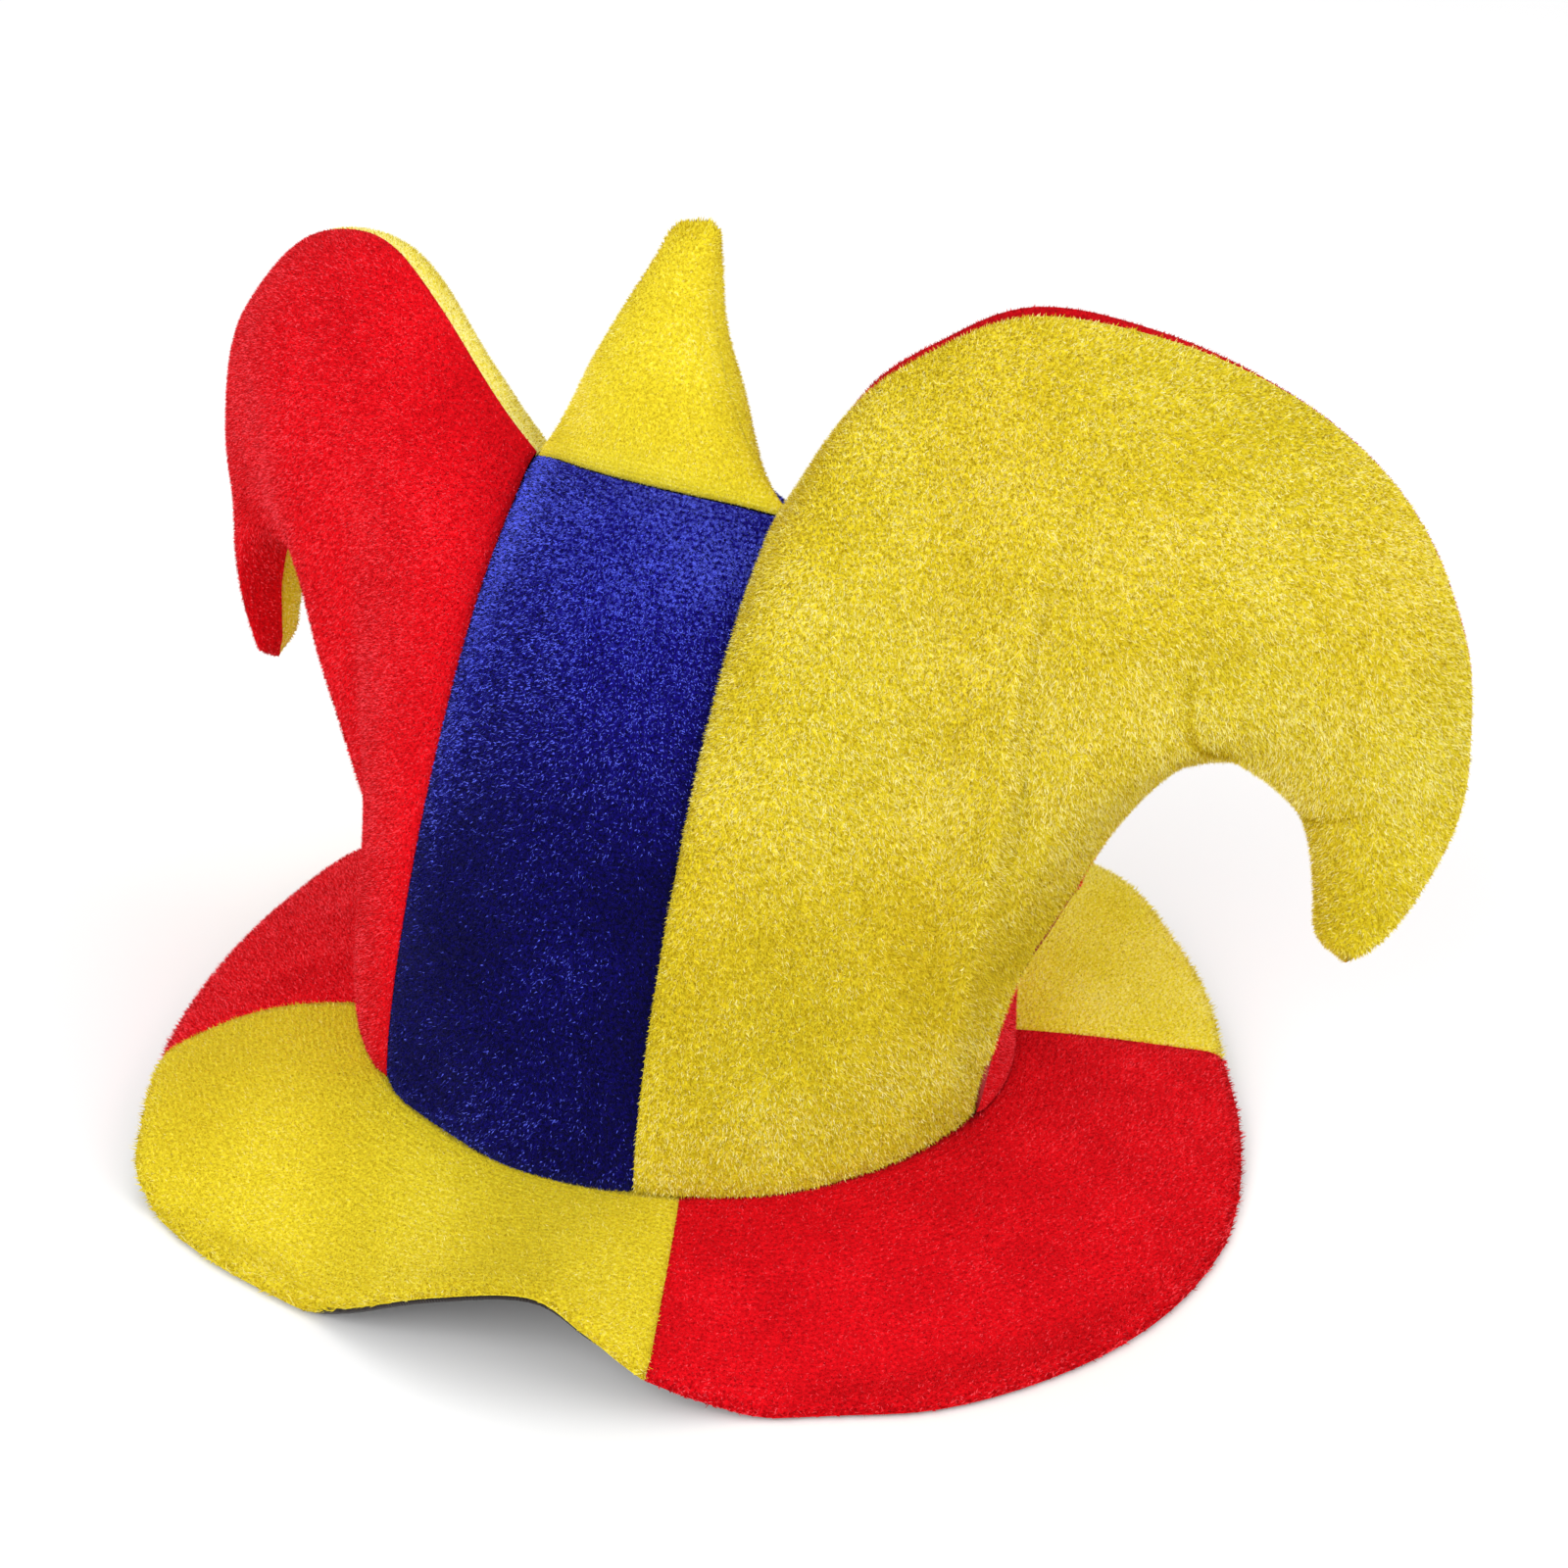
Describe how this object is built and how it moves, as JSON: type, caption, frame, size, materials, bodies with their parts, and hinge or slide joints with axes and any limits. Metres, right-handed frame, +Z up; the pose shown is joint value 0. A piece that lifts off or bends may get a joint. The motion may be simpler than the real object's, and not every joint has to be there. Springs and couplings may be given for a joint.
{
  "type": "jester party hat",
  "caption": "Plush jester party hat with curled side horns, a middle spike, a round crown and a soft wavy brim in red, yellow and blue.",
  "frame": {"origin": "on the floor, under the middle of the hat's outline", "axes": "+X towards the higher horn, -Y the front, +Z up from the floor to the spike"},
  "size_m": [0.386, 0.3071, 0.2679],
  "materials": {
    "yellow_plush": "short golden yellow pile",
    "red_plush": "short bright red pile",
    "blue_plush": "short deep blue pile with a sheen",
    "dark_cloth": "matt woven lining"
  },
  "bodies": {
    "root": {"crown_front": "blue_plush", "crown_back": "blue_plush", "horn_right_front": "yellow_plush", "horn_right_back": "red_plush", "horn_left_front": "red_plush", "horn_left_back": "yellow_plush", "spike_front": "yellow_plush", "spike_back": "yellow_plush", "brim_front": "yellow_plush", "brim_right": "red_plush", "brim_back": "yellow_plush", "brim_left": "red_plush", "brim_underside": "dark_cloth"}
  },
  "joints": []
}
